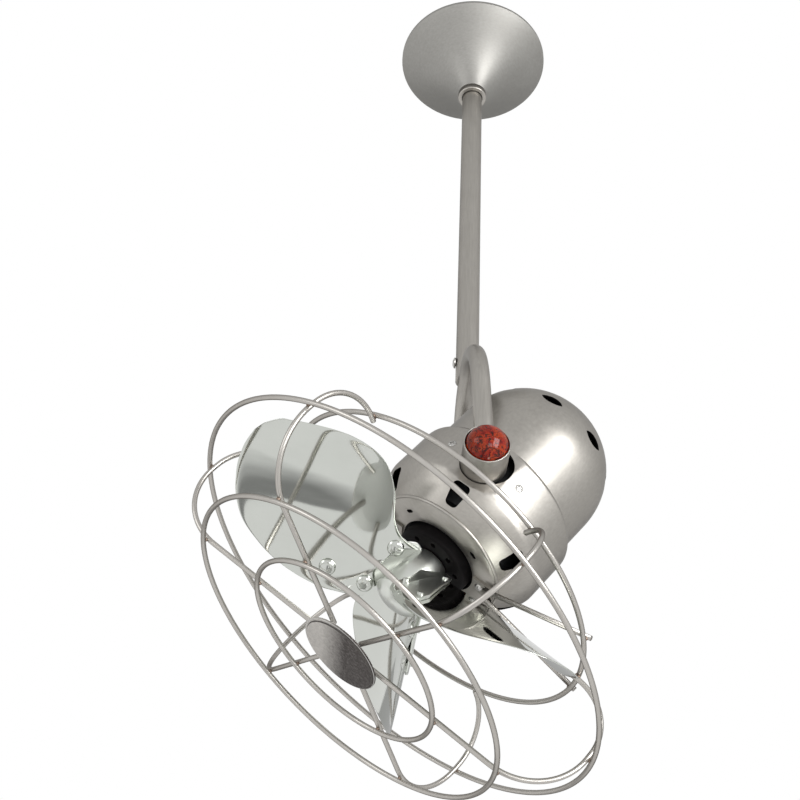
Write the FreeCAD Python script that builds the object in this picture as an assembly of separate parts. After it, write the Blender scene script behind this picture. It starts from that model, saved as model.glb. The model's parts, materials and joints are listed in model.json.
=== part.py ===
import FreeCAD, Part
import math
import os

# Directional ceiling fan: ceiling bracket, canopy and downrod carry a bent tube yoke,
# and the yoke carries a tilting motor head with three paddle blades in a wire cage.
# Frame: millimetres, +Z up, origin on the ceiling at the centre of the canopy's rim.
# The head is modelled along its own axis (local +Z is the blowing direction, local X is
# the tilt axis) and is then turned down to its rest angle.

# Overall places
pivot_drop = 635.0
pivot_setback = 8.2
rest_tilt = 53.0
overrun = 5.0
seat_gap = 0.3
running_gap = 0.05

# Ceiling bracket and hanger ball
plate_length = 118.0
plate_width = 34.0
plate_thickness = 3.0
slot_spacing = 88.9
slot_width = 5.0
slot_length = 14.0
ball_radius = 15.0
ball_drop = 28.0
strap_width = 20.0
strap_thickness = 3.0
seat_ring_height = 7.0
seat_ring_wall = 4.0
pin_radius = 3.0

# Canopy
canopy_radius = 79.8
canopy_height = 60.0
canopy_rim_height = 3.0
canopy_wall = 1.2
collar_outer_radius = 15.35
collar_bore_radius = 11.4
collar_height = 7.0
collar_lip = 1.2
neck_height = 2.4
set_screw_radius = 2.0
canopy_radius_shares = (0.92, 0.62, 0.33)
canopy_drop_shares = (0.13, 0.40, 0.74)

# Downrod and yoke
rod_radius = 10.65
rod_bore_radius = 7.75
rod_head = 7.0
crown_height = 153.0
yoke_tube_radius = 8.0
yoke_tube_wall = 1.6
arm_reach = 88.0
crown_half_flat = 8.0
stem_height = 40.0
yoke_screw_height = 22.0
yoke_screw_radius = 3.0
yoke_screw_head_radius = 5.0
yoke_screw_head_height = 2.6
yoke_nut_radius = 5.2
yoke_nut_height = 4.5
thread_end = 1.2

# Trunnion cups, studs and knobs
cup_radius = 18.9
cup_wall = 1.3
cup_inset = 14.0
cup_outset = 15.2
cup_base = 4.0
stud_radius = 4.0
stud_outset = 8.0
knob_bulge = 10.5
knob_shoulder = 2.0
knob_inset = 8.0
washer_thickness = 1.4
washer_radius = 13.0

# Motor housing
band_inset = 9.5
rear_step = 7.5
shell_wall = 1.2
seam_place = -27.7
seam_round = 5.0
rear_shell_front = -23.5
dome_centre = -71.0
band_front = 20.0
band_round = 9.0
ridge_depth = 18.1
ridge_place = 46.2
ridge_round = 2.5
ridge_step = 3.0
front_face = 49.5
front_hole_step = 24.4
facet_inset = 13.0
trunnion_hole_gap = 0.7
trunnion_hole_shift = 4.0
dome_vent_count = 8
dome_vent_phase = 3.0
dome_vent_place = -103.0
dome_vent_length = 21.0
dome_vent_width = 12.0
cone_vent_count = 6
cone_vent_length = 21.0
cone_vent_wide = 17.0
cone_vent_narrow = 10.0
cone_vent_round = 4.0
cone_vent_place = 34.0
face_slot_count = 4
face_slot_step = 14.4
face_slot_length = 7.0
face_slot_width = 3.4
shell_screw_angle = 25.7
shell_screw_place = -3.2
shell_screw_radius = 1.7
shell_screw_head = 2.9
shell_screw_dome = 1.1
shell_screw_length = 9.0

# Motor
frame_radius = 54.0
frame_wall = 3.0
frame_half_length = 30.0
trunnion_boss_radius = 14.0
trunnion_boss_inset = 16.0
post_radius = 4.5
bell_thickness = 3.0
bell_window_count = 6
bell_window_radius = 8.0
bell_window_circle = 32.0
bearing_radius = 11.0
bearing_width = 7.0
bearing_boss_wall = 3.5
stator_gap = 0.2
stator_depth = 20.6
stator_half_length = 18.0
stator_slot_count = 12
stator_slot_radius = 3.0
stator_slot_depth = 6.8
winding_inner_step = 2.8
winding_outer_step = 4.8
winding_height = 8.0
winding_round = 3.0
rotor_gap = 0.5
shaft_radius = 4.0
shaft_rear = -40.0
shaft_front = 106.0

# Rotor disc, hub and blades
disc_gap = 2.5
disc_rear = 44.0
disc_front = 59.0
disc_round = 3.0
disc_slot_count = 9
disc_slot_radius = 2.6
disc_slot_step = 8.5
hub_rear = 59.4
hub_front = 104.0
hub_rear_radius = 16.5
hub_front_radius = 18.5
nose_radius = 20.0
nose_height = 7.0
blade_count = 3
blade_phase = 55.0
blade_root = 26.0
blade_tip = 177.0
blade_root_place = 72.0
blade_rise = 35.0
blade_width = 75.0
blade_thickness = 1.2
camber_radius = 150.0
root_pitch_angle = 47.5
tip_pitch_angle = 27.5
pitch_power_share = 0.7
blade_radius_shares = (0.0, 0.05, 0.15, 0.30, 0.50, 0.70, 0.84, 0.93, 0.98, 1.0)
blade_lead_shares = (0.88, 0.935, 0.92, 0.975, 0.967, 0.86, 0.653, 0.427, 0.213, 0.067)
blade_trail_shares = (0.027, 0.067, 0.20, 0.50, 0.76, 0.733, 0.533, 0.36, 0.227, 0.08)
arm_root = 9.0
arm_thickness = 3.0
arm_leads = (14.0, 46.0, 56.0, 61.0, 5.0)
arm_trails = (9.0, 8.0, 10.0, 18.0, 41.0)
inner_rivet_share = 0.05
outer_rivet_share = 0.15
inner_rivet_places = (7.0, 41.0)
outer_rivet_place = 53.0
rivet_radius = 2.5
rivet_head_radius = 5.4
rivet_head_height = 3.4
rivet_seat = 0.6
rivet_crown_share = 0.62

# Cage
wire_radius = 2.15
weld_gap = 0.05
guard_front = 170.0
inner_ring_radius = 90.2
front_ring_radius = 150.6
rim_ring_radius = 200.0
rim_ring_place = 111.3
rear_ring_radius = 150.1
rear_ring_place = 57.8
rib_angles = (27.0, 88.0, 148.0, 206.5, 267.0, 327.0)
rib_front_bend = 53.5
rib_rear_bend = 45.0
rib_inner_end = 26.0
rib_tail = 4.0
badge_radius = 35.8
badge_thickness = 6.0
badge_rim_width = 3.0
badge_rim_height = 1.0
badge_edge_round = 1.5
tab_angles = (90.0, 270.0)
tab_inner_step = 23.4
tab_outer_step = 2.4
tab_width = 15.0
tab_thickness = 2.0
tab_screw_step = 16.4
tab_screw_radius = 2.0
tab_screw_head = 3.6
tab_screw_dome = 2.0
tab_nut_radius = 3.8
tab_nut_height = 3.0
strut_spread_angle = 15.0
strut_offset = 5.0
strut_start_step = 10.4
strut_tail = 4.0

# Values that follow from the ones above
origin = FreeCAD.Vector(0, 0, 0)
axis_x = FreeCAD.Vector(1, 0, 0)
axis_y = FreeCAD.Vector(0, 1, 0)
axis_z = FreeCAD.Vector(0, 0, 1)
full_angle = 360.0
hex_count = 6
pivot = FreeCAD.Vector(0, pivot_setback, -pivot_drop)
head_place = FreeCAD.Placement(pivot, FreeCAD.Rotation(axis_x, 90 + rest_tilt))
crown_z = crown_height - pivot_drop
wire_step = 2 * wire_radius + weld_gap
rib_front = guard_front - wire_step
rib_reach = rim_ring_radius - wire_step
rib_rear = rear_ring_place + wire_step
bend_reach = front_ring_radius - (rib_reach - rib_front_bend)
bend_rise = math.sqrt((rib_front_bend + wire_step) ** 2 - bend_reach ** 2)
front_ring_place = rib_front - rib_front_bend + bend_rise
frame_bore = frame_radius - frame_wall
shoulder_radius = arm_reach - crown_half_flat
cup_inner_end = arm_reach - cup_inset
cup_rim_end = arm_reach + cup_outset
stud_outer_end = arm_reach + stud_outset
knob_inner_end = arm_reach - knob_inset
facet_place = arm_reach - facet_inset
band_radius = arm_reach - band_inset
rear_radius = band_radius - rear_step
ridge_radius = band_radius - ridge_depth
front_hole_radius = ridge_radius - front_hole_step
face_slot_radius = ridge_radius - face_slot_step
tab_inner = ridge_radius - tab_inner_step
tab_outer = ridge_radius - tab_outer_step
tab_screw_circle = ridge_radius - tab_screw_step
strut_start = ridge_radius - strut_start_step
disc_radius = front_hole_radius - disc_gap
disc_slot_circle = disc_radius - disc_slot_step
trunnion_boss_end = arm_reach - trunnion_boss_inset
stator_radius = frame_bore - stator_gap
stator_bore = stator_radius - stator_depth
stator_slot_circle = stator_bore + stator_slot_depth
winding_inner = stator_bore + winding_inner_step
winding_outer = stator_radius - winding_outer_step


def save(shape, node):
    shape.exportStep("parts/" + node + ".step")


def group(shapes):
    return Part.makeCompound(shapes)


def in_head(shape):
    placed = shape.copy()
    placed.Placement = head_place.multiply(placed.Placement)
    return placed


def turned_about_axis(shape, angle):
    copy = shape.copy()
    copy.rotate(origin, axis_z, angle)
    return copy


def spread(shape, count, phase=0.0):
    return [turned_about_axis(shape, phase + full_angle * i / count) for i in range(count)]


def rounded_path(points, radii):
    # Straight runs joined by tangent arcs, one radius for each inner point.
    edges = []
    start = points[0]
    for i, radius in enumerate(radii):
        corner = points[i + 1]
        back = (points[i] - corner).normalize()
        ahead = (points[i + 2] - corner).normalize()
        half = back.getAngle(ahead) / 2
        if radius > 0:
            reach = radius / math.tan(half)
            first = corner + back * reach
            last = corner + ahead * reach
            bisector = (back + ahead).normalize()
            middle = corner + bisector * (radius / math.sin(half) - radius)
            edges.append(Part.LineSegment(start, first).toShape())
            edges.append(Part.Arc(first, middle, last).toShape())
            start = last
        else:
            edges.append(Part.LineSegment(start, corner).toShape())
            start = corner
    edges.append(Part.LineSegment(start, points[-1]).toShape())
    return edges


def turned(outline, radii):
    # Solid of revolution about Z from (radius, height) points, closed back to its start.
    points = [FreeCAD.Vector(r, 0, z) for r, z in outline]
    edges = rounded_path(points, radii)
    edges.append(Part.LineSegment(points[-1], points[0]).toShape())
    return Part.Face(Part.Wire(edges)).revolve(origin, axis_z, full_angle)


def ring_solid(outer, inner, low, high):
    solid = Part.makeCylinder(outer, high - low, FreeCAD.Vector(0, 0, low))
    bore = Part.makeCylinder(inner, high - low + 2 * overrun, FreeCAD.Vector(0, 0, low - overrun))
    return solid.cut(bore)


def swept(edges, radius):
    path = Part.Wire(edges)
    first = path.Edges[0]
    start = first.valueAt(first.FirstParameter)
    profile = Part.Wire(Part.Circle(start, first.tangentAt(first.FirstParameter), radius).toShape())
    return path.makePipeShell([profile], True, True)


def along_x(shape, side):
    # A shape made along +Z laid along +X or -X.
    laid = shape.copy()
    laid.rotate(origin, axis_y, 90 * side)
    return laid


def slot_solid(length, width, depth):
    # Round-ended slot along X, standing on z = 0.
    half = (length - width) / 2
    box = Part.makeBox(2 * half, width, depth, FreeCAD.Vector(-half, -width / 2, 0))
    ends = [Part.makeCylinder(width / 2, depth, FreeCAD.Vector(side * half, 0, 0)) for side in (-1, 1)]
    return box.multiFuse(ends).removeSplitter()


def screw(shank, length, head, dome):
    # Shank below z = 0 and a low domed head above it.
    outline = [(0, -length), (shank, -length), (shank, 0), (head, 0)]
    outline += [(head, dome / 2), (head / 2, dome), (0, dome)]
    return turned(outline, [0 for point in outline[1:-1]])


def hexagon(radius, height, bore):
    corner = Part.Vertex(radius, 0, 0)
    corners = [spun.Point for spun in spread(corner, hex_count)]
    corners.append(corners[0])
    prism = Part.Face(Part.makePolygon(corners)).extrude(axis_z * height)
    return prism.cut(Part.makeCylinder(bore, height + 2 * overrun, FreeCAD.Vector(0, 0, -overrun)))


# Ceiling side
def ceiling_bracket():
    plate = Part.makeBox(plate_length, plate_width, plate_thickness,
                         FreeCAD.Vector(-plate_length / 2, -plate_width / 2, -plate_thickness))
    slot = slot_solid(slot_length, slot_width, plate_thickness + 2 * overrun)
    for side in (-1, 1):
        cutter = slot.copy()
        cutter.translate(FreeCAD.Vector(side * slot_spacing / 2, 0, -plate_thickness - overrun))
        plate = plate.cut(cutter)
    seat_outer = ball_radius + seat_ring_wall
    seat_low = -ball_drop - seat_ring_height
    seat = Part.makeCylinder(seat_outer, seat_ring_height, FreeCAD.Vector(0, 0, seat_low))
    straps = []
    for side in (-1, 1):
        inner = side * (seat_outer - strap_thickness)
        low_x = min(inner, inner + side * 2 * strap_thickness)
        straps.append(Part.makeBox(2 * strap_thickness, strap_width, -plate_thickness - seat_low,
                                   FreeCAD.Vector(low_x, -strap_width / 2, seat_low)))
    body = plate.multiFuse([seat] + straps)
    ball_room = Part.makeSphere(ball_radius + running_gap, FreeCAD.Vector(0, 0, -ball_drop))
    rod_room = Part.makeCylinder(rod_radius + seat_gap, ball_drop, FreeCAD.Vector(0, 0, -2 * ball_drop))
    return body.cut(ball_room).cut(rod_room).removeSplitter()


def hanger_ball():
    ball = Part.makeSphere(ball_radius, FreeCAD.Vector(0, 0, -ball_drop))
    bore = Part.makeCylinder(rod_radius + running_gap, 4 * ball_radius)
    bore.translate(-axis_z * (ball_drop + 2 * ball_radius))
    return ball.cut(bore).cut(cross_hole(-ball_drop, pin_radius + running_gap, 2 * ball_radius))


def cross_hole(height, radius, half_length):
    return Part.makeCylinder(radius, 2 * half_length, FreeCAD.Vector(0, -half_length, height), axis_y)


def hanger_pin():
    half = math.sqrt(ball_radius ** 2 - pin_radius ** 2)
    return cross_hole(-ball_drop, pin_radius, half)


def canopy():
    rim = FreeCAD.Vector(canopy_radius, 0, 0)
    edge = FreeCAD.Vector(canopy_radius, 0, -canopy_rim_height)
    shares = zip(canopy_radius_shares, canopy_drop_shares)
    flare = [edge] + [FreeCAD.Vector(canopy_radius * r, 0, -canopy_height * z) for r, z in shares]
    flare.append(FreeCAD.Vector(collar_outer_radius, 0, -canopy_height))
    outer = trumpet(rim, flare)
    inset = FreeCAD.Vector(canopy_wall, 0, -canopy_wall)
    inner = trumpet(rim - axis_x * canopy_wall, [point - inset for point in flare])
    foot = Part.makeCylinder(collar_outer_radius - canopy_wall, canopy_height)
    foot.translate(-axis_z * (canopy_height + overrun))
    return outer.cut(inner).cut(foot)


def trumpet(rim, flare):
    curve = Part.BSplineCurve()
    curve.interpolate(flare)
    foot = FreeCAD.Vector(0, 0, flare[-1].z)
    edges = [Part.LineSegment(rim, flare[0]).toShape(), curve.toShape()]
    edges.append(Part.LineSegment(flare[-1], foot).toShape())
    edges.append(Part.LineSegment(foot, origin).toShape())
    edges.append(Part.LineSegment(origin, rim).toShape())
    return Part.Face(Part.Wire(edges)).revolve(origin, axis_z, full_angle)


def canopy_collar():
    low = -canopy_height - collar_height
    neck = collar_outer_radius - canopy_wall - running_gap
    top = neck_height - canopy_height
    outline = [(collar_bore_radius, low), (collar_outer_radius, low), (collar_outer_radius, -canopy_height)]
    outline += [(neck, -canopy_height), (neck, top), (collar_bore_radius, top)]
    ring = turned(outline, [collar_lip, 0, 0, 0])
    return ring.cut(collar_screw_hole(set_screw_radius + running_gap, collar_outer_radius + overrun))


def collar_screw_hole(radius, reach):
    return Part.makeCylinder(radius, reach, FreeCAD.Vector(0, 0, -canopy_height - collar_height / 2), -axis_x)


def collar_screw():
    stub = collar_screw_hole(set_screw_radius, collar_outer_radius)
    rod_room = Part.makeCylinder(rod_radius + running_gap, 2 * canopy_height)
    rod_room.translate(-axis_z * 2 * canopy_height)
    return stub.cut(rod_room)


def downrod():
    low = crown_z
    tube = Part.makeCylinder(rod_radius, -rod_head - low, FreeCAD.Vector(0, 0, low))
    bore = Part.makeCylinder(rod_bore_radius, -rod_head - low + 2 * overrun)
    bore.translate(axis_z * (low - overrun))
    tube = tube.cut(bore)
    saddle_start = FreeCAD.Vector(-2 * rod_radius, 0, crown_z)
    saddle = Part.makeCylinder(yoke_tube_radius + running_gap, 4 * rod_radius, saddle_start, axis_x)
    tube = tube.cut(saddle).cut(cross_hole(-ball_drop, pin_radius + running_gap, 2 * rod_radius))
    return tube.cut(cross_hole(crown_z + yoke_screw_height, yoke_screw_radius + running_gap, 2 * rod_radius))


def yoke():
    foot_lean = pivot_setback / crown_height
    points = []
    for side, height in ((-1, 0), (-1, crown_height), (1, crown_height), (1, 0)):
        lean = foot_lean * (crown_height - height)
        points.append(FreeCAD.Vector(side * arm_reach, lean, height - pivot_drop))
    path = rounded_path(points, [shoulder_radius, shoulder_radius])
    tube = swept(path, yoke_tube_radius)
    stem_radius = rod_bore_radius - running_gap
    stem = Part.makeCylinder(stem_radius, stem_height, FreeCAD.Vector(0, 0, crown_z))
    body = tube.fuse(stem)
    body = body.cut(swept(path, yoke_tube_radius - yoke_tube_wall))
    for side in (-1, 1):
        start = pivot + axis_x * side * arm_reach / 2
        body = body.cut(Part.makeCylinder(cup_radius + running_gap, arm_reach, start, axis_x * side))
    body = body.cut(cross_hole(crown_z + yoke_screw_height, yoke_screw_radius + running_gap, 2 * rod_radius))
    return max(body.removeSplitter().Solids, key=lambda solid: solid.Volume)


def yoke_screw():
    half = rod_radius + seat_gap
    length = 2 * half + yoke_nut_height + thread_end
    bolt = screw(yoke_screw_radius, length, yoke_screw_head_radius, yoke_screw_head_height)
    bolt.rotate(origin, axis_x, 90)
    bolt.translate(FreeCAD.Vector(0, -half, crown_z + yoke_screw_height))
    return bolt


def yoke_nut():
    nut = hexagon(yoke_nut_radius, yoke_nut_height, yoke_screw_radius + running_gap)
    nut.rotate(origin, axis_x, -90)
    nut.translate(FreeCAD.Vector(0, rod_radius + seat_gap, crown_z + yoke_screw_height))
    return nut


def trunnion_cup(side):
    cup = ring_solid(cup_radius, cup_radius - cup_wall, cup_inner_end, cup_rim_end)
    base = ring_solid(cup_radius, stud_radius + running_gap, cup_inner_end, cup_inner_end + cup_base)
    laid = along_x(cup.fuse(base).removeSplitter(), side)
    laid.translate(pivot)
    return laid


def tilt_knob(side):
    radius = cup_radius - cup_wall - seat_gap
    dome_start = cup_rim_end - knob_shoulder
    dome_end = cup_rim_end + knob_bulge
    body = Part.makeCylinder(radius, dome_start - knob_inner_end, FreeCAD.Vector(0, 0, knob_inner_end))
    rise = dome_end - dome_start
    sphere_radius = (radius ** 2 + rise ** 2) / (2 * rise)
    ball = Part.makeSphere(sphere_radius, FreeCAD.Vector(0, 0, dome_end - sphere_radius))
    cap = ball.common(Part.makeCylinder(radius, rise, FreeCAD.Vector(0, 0, dome_start)))
    knob = body.fuse(cap).removeSplitter()
    bore_depth = stud_outer_end + seat_gap - knob_inner_end
    bore = Part.makeCylinder(stud_radius + running_gap, bore_depth, FreeCAD.Vector(0, 0, knob_inner_end))
    laid = along_x(knob.cut(bore), side)
    laid.translate(pivot)
    return laid


# Tilting head, all along local Z
def rear_shell():
    outer = dome_edges(rear_radius)
    inner = dome_edges(rear_radius - shell_wall)
    pole = Part.LineSegment(inner[0].Vertexes[0].Point, outer[0].Vertexes[0].Point).toShape()
    rim = Part.LineSegment(outer[1].Vertexes[1].Point, inner[1].Vertexes[1].Point).toShape()
    wire = Part.Wire([pole] + outer + [rim] + inner[::-1])
    shell = Part.Face(wire).revolve(origin, axis_z, full_angle)
    return shell.cut(spread(dome_vent(), dome_vent_count, dome_vent_phase))


def dome_edges(radius):
    # Quarter round from the rear pole, then straight to the front edge.
    pole = FreeCAD.Vector(0, 0, dome_centre - radius)
    slant = radius * math.sqrt(2) / 2
    middle = FreeCAD.Vector(slant, 0, dome_centre - slant)
    equator = FreeCAD.Vector(radius, 0, dome_centre)
    front = FreeCAD.Vector(radius, 0, rear_shell_front)
    return [Part.Arc(pole, middle, equator).toShape(), Part.LineSegment(equator, front).toShape()]


def dome_vent():
    # Lens of two arcs, cut square to the dome's surface.
    half = dome_vent_length / 2
    rise = dome_vent_width / 2
    tip_a = FreeCAD.Vector(-half, 0, 0)
    tip_b = FreeCAD.Vector(half, 0, 0)
    upper = Part.Arc(tip_a, FreeCAD.Vector(0, rise, 0), tip_b).toShape()
    lower = Part.Arc(tip_b, FreeCAD.Vector(0, -rise, 0), tip_a).toShape()
    lens = Part.Face(Part.Wire([upper, lower])).extrude(axis_z * rear_radius)
    lens.translate(axis_z * rear_radius / 2)
    lens.rotate(origin, axis_z, 90)
    back_angle = math.degrees(math.asin((dome_centre - dome_vent_place) / rear_radius))
    lens.rotate(origin, axis_y, 90 + back_angle)
    lens.translate(axis_z * dome_centre)
    return lens


def front_outline(inset):
    cone_step = inset * (ridge_place - band_front) / (2 * (band_radius - ridge_radius))
    return [(0, seam_place + inset), (band_radius - inset, seam_place + inset),
            (band_radius - inset, band_front - cone_step), (ridge_radius - inset, ridge_place - cone_step),
            (ridge_radius - ridge_step - inset, front_face - inset), (0, front_face - inset)]


def front_shell():
    outer = turned(front_outline(0), [seam_round, band_round, ridge_round, 0])
    inner_rounds = [seam_round - shell_wall, band_round - shell_wall, ridge_round, 0]
    inner = turned(front_outline(shell_wall), inner_rounds)
    outer = outer.common(facet_slab(facet_place))
    inner = inner.common(facet_slab(facet_place - shell_wall))
    shell = outer.cut(inner)
    seam_bore = Part.makeCylinder(rear_radius + running_gap, 2 * overrun)
    seam_bore.translate(axis_z * (seam_place - overrun))
    front_hole = Part.makeCylinder(front_hole_radius, 2 * overrun)
    front_hole.translate(axis_z * (front_face - overrun))
    trunnion = Part.makeCylinder(cup_radius + trunnion_hole_gap, 4 * band_radius, origin, axis_x)
    trunnion.translate(-axis_x * 2 * band_radius)
    eased = trunnion.copy()
    eased.translate(-(axis_y + axis_z) * trunnion_hole_shift)
    cutters = [seam_bore, front_hole, trunnion, eased]
    cutters += spread(cone_vent(), cone_vent_count)
    slot = slot_solid(face_slot_length, face_slot_width, 2 * overrun)
    slot.rotate(origin, axis_z, 90)
    slot.translate(FreeCAD.Vector(face_slot_radius, 0, front_face - overrun))
    cutters += spread(slot, face_slot_count, full_angle / face_slot_count / 2)
    cutters += [radial_hole(angle, shell_screw_radius + running_gap) for angle in shell_screw_angles()]
    cutters += [tab_hole(angle, tab_screw_radius + running_gap) for angle in tab_angles]
    return shell.cut(cutters)


def facet_slab(half):
    corner = FreeCAD.Vector(-half, -2 * band_radius, -2 * band_radius)
    return Part.makeBox(2 * half, 4 * band_radius, 4 * band_radius, corner)


def cone_vent():
    # Rounded trapezoid, wide towards the band, cut square to the cone.
    half = cone_vent_length / 2
    wide = cone_vent_wide / 2
    narrow = cone_vent_narrow / 2
    corners = [(-half, -wide), (half, -narrow), (half, narrow), (-half, wide)]
    points = [FreeCAD.Vector(x, y, 0) for x, y in corners]
    middle = (points[0] + points[3]) / 2
    edges = rounded_path([middle] + points + [middle], [cone_vent_round] * len(points))
    prism = Part.Face(Part.Wire(edges)).extrude(axis_z * band_radius / 2)
    prism.translate(-axis_z * band_radius / 4)
    slope = math.degrees(math.atan2(band_radius - ridge_radius, ridge_place - band_front))
    prism.rotate(origin, axis_y, -90 + slope)
    prism.rotate(origin, axis_y, full_angle / 2)
    share = (cone_vent_place - band_front) / (ridge_place - band_front)
    prism.rotate(origin, axis_x, full_angle / 2)
    prism.translate(FreeCAD.Vector(band_radius + (ridge_radius - band_radius) * share, 0, cone_vent_place))
    return prism


def shell_screw_angles():
    return [side + sign * shell_screw_angle for side in (0, full_angle / 2) for sign in (-1, 1)]


def radial_hole(angle, radius):
    hole = Part.makeCylinder(radius, band_radius, FreeCAD.Vector(frame_radius, 0, shell_screw_place), axis_x)
    return turned_about_axis(hole, angle)


def shell_screws():
    one = along_x(screw(shell_screw_radius, shell_screw_length, shell_screw_head, shell_screw_dome), 1)
    one.translate(FreeCAD.Vector(band_radius + running_gap, 0, shell_screw_place))
    return group([turned_about_axis(one, angle) for angle in shell_screw_angles()])


def motor_frame():
    can = Part.makeCylinder(frame_radius, 2 * frame_half_length, FreeCAD.Vector(0, 0, -frame_half_length))
    bosses = []
    for side in (-1, 1):
        bosses.append(Part.makeCylinder(trunnion_boss_radius, trunnion_boss_end, origin, axis_x * side))
    post_end = band_radius - shell_wall - running_gap
    post = Part.makeCylinder(post_radius, post_end, FreeCAD.Vector(0, 0, shell_screw_place), axis_x)
    posts = [turned_about_axis(post, angle) for angle in shell_screw_angles()]
    body = can.multiFuse(bosses + posts)
    low_end = FreeCAD.Vector(0, 0, -2 * frame_half_length)
    body = body.common(Part.makeCylinder(post_end, 4 * frame_half_length, low_end))
    bore = Part.makeCylinder(frame_bore, 4 * frame_half_length, low_end)
    left_end = FreeCAD.Vector(-2 * frame_radius, 0, 0)
    studs = Part.makeCylinder(stud_radius + running_gap, 4 * frame_radius, left_end, axis_x)
    cutters = [bore, studs]
    cutters += [radial_hole(angle, shell_screw_radius + running_gap) for angle in shell_screw_angles()]
    return body.cut(cutters).removeSplitter()


def trunnion_studs():
    stud = Part.makeCylinder(stud_radius, stud_outer_end - frame_bore, FreeCAD.Vector(0, 0, frame_bore))
    return group([along_x(stud, side) for side in (-1, 1)])


def friction_washers():
    outer_end = trunnion_boss_end + washer_thickness
    one = ring_solid(washer_radius, stud_radius + running_gap, trunnion_boss_end, outer_end)
    return group([along_x(one, side) for side in (-1, 1)])


def end_bell(side):
    # Windowed end plate with a bearing boss, on the front (1) or rear (-1) of the motor can.
    disc = Part.makeCylinder(frame_radius, bell_thickness, FreeCAD.Vector(0, 0, frame_half_length))
    boss_radius = bearing_radius + bearing_boss_wall
    boss_height = bearing_width + bell_thickness
    boss_low = FreeCAD.Vector(0, 0, frame_half_length + bell_thickness - boss_height)
    boss = Part.makeCylinder(boss_radius, boss_height, boss_low)
    window = Part.makeCylinder(bell_window_radius, 4 * bell_thickness)
    window.translate(FreeCAD.Vector(bell_window_circle, 0, frame_half_length - bell_thickness))
    seat = Part.makeCylinder(bearing_radius + running_gap, bearing_width, boss_low)
    passage = Part.makeCylinder(shaft_radius + seat_gap, 4 * boss_height)
    passage.translate(axis_z * (frame_half_length - 2 * boss_height))
    bell = disc.fuse(boss).cut([seat, passage] + spread(window, bell_window_count)).removeSplitter()
    if side < 0:
        bell.rotate(origin, axis_x, full_angle / 2)
    return bell


def bearings():
    low = frame_half_length - bearing_width
    one = ring_solid(bearing_radius, shaft_radius + running_gap, low, low + bearing_width)
    rear = one.copy()
    rear.rotate(origin, axis_x, full_angle / 2)
    return group([one, rear])


def stator_core():
    core = ring_solid(stator_radius, stator_bore, -stator_half_length, stator_half_length)
    slot = Part.makeCylinder(stator_slot_radius, 4 * stator_half_length)
    slot.translate(FreeCAD.Vector(stator_slot_circle, 0, -2 * stator_half_length))
    return core.cut(spread(slot, stator_slot_count))


def stator_windings():
    low = stator_half_length
    high = stator_half_length + winding_height
    outline = [(winding_inner, low), (winding_outer, low), (winding_outer, high), (winding_inner, high)]
    front = turned(outline, [0, winding_round])
    rear = front.copy()
    rear.rotate(origin, axis_x, full_angle / 2)
    return group([front, rear])


# Cage, part of the tilting head
def wire_ring(radius, place):
    return Part.makeTorus(radius, wire_radius, FreeCAD.Vector(0, 0, place))


def guard_rib(angle):
    corners = [(rib_inner_end, rib_front), (rib_reach, rib_front), (rib_reach, rib_rear)]
    corners.append((rear_ring_radius - rib_tail, rib_rear))
    points = [FreeCAD.Vector(r, 0, z) for r, z in corners]
    rib = swept(rounded_path(points, [rib_front_bend, rib_rear_bend]), wire_radius)
    return turned_about_axis(rib, angle)


def guard_badge():
    low = rib_front + wire_radius + weld_gap
    face = low + badge_thickness
    inner = badge_radius - badge_rim_width
    field = face - badge_rim_height
    outline = [(0, low), (badge_radius, low), (badge_radius, face), (inner, face), (inner, field), (0, field)]
    return turned(outline, [0, badge_edge_round, 0, 0])


def tab_hole(angle, radius):
    start = FreeCAD.Vector(tab_screw_circle, 0, front_face - 2 * overrun)
    return turned_about_axis(Part.makeCylinder(radius, 4 * overrun, start), angle)


def guard_tabs():
    plates = []
    for angle in tab_angles:
        corner = FreeCAD.Vector(tab_inner, -tab_width / 2, front_face)
        plate = Part.makeBox(tab_outer - tab_inner, tab_width, tab_thickness, corner)
        hole = tab_hole(angle, tab_screw_radius + running_gap)
        plates.append(turned_about_axis(plate, angle).cut(hole))
    return group(plates)


def guard_struts():
    height = front_face + tab_thickness + wire_radius + weld_gap
    end_height = rear_ring_place - wire_step
    wires = []
    for angle in tab_angles:
        for side in (-1, 1):
            turn = math.radians(side * strut_spread_angle)
            reach = rear_ring_radius + strut_tail
            start = FreeCAD.Vector(strut_start, side * strut_offset, height)
            end = FreeCAD.Vector(reach * math.cos(turn), reach * math.sin(turn), end_height)
            wire = swept([Part.LineSegment(start, end).toShape()], wire_radius)
            wires.append(turned_about_axis(wire, angle))
    return group(wires)


def guard_tab_screws():
    top = front_face + tab_thickness
    length = tab_thickness + shell_wall + tab_nut_height + thread_end
    one = screw(tab_screw_radius, length, tab_screw_head, tab_screw_dome)
    one.translate(FreeCAD.Vector(tab_screw_circle, 0, top))
    return group([turned_about_axis(one, angle) for angle in tab_angles])


def guard_tab_nuts():
    nut = hexagon(tab_nut_radius, tab_nut_height, tab_screw_radius + running_gap)
    nut.translate(FreeCAD.Vector(tab_screw_circle, 0, front_face - shell_wall - tab_nut_height))
    return group([turned_about_axis(nut, angle) for angle in tab_angles])


# Spinning parts
def rotor_core():
    outer = stator_bore - rotor_gap
    return ring_solid(outer, shaft_radius + running_gap, -stator_half_length, stator_half_length)


def motor_shaft():
    return Part.makeCylinder(shaft_radius, shaft_front - shaft_rear, FreeCAD.Vector(0, 0, shaft_rear))


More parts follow.
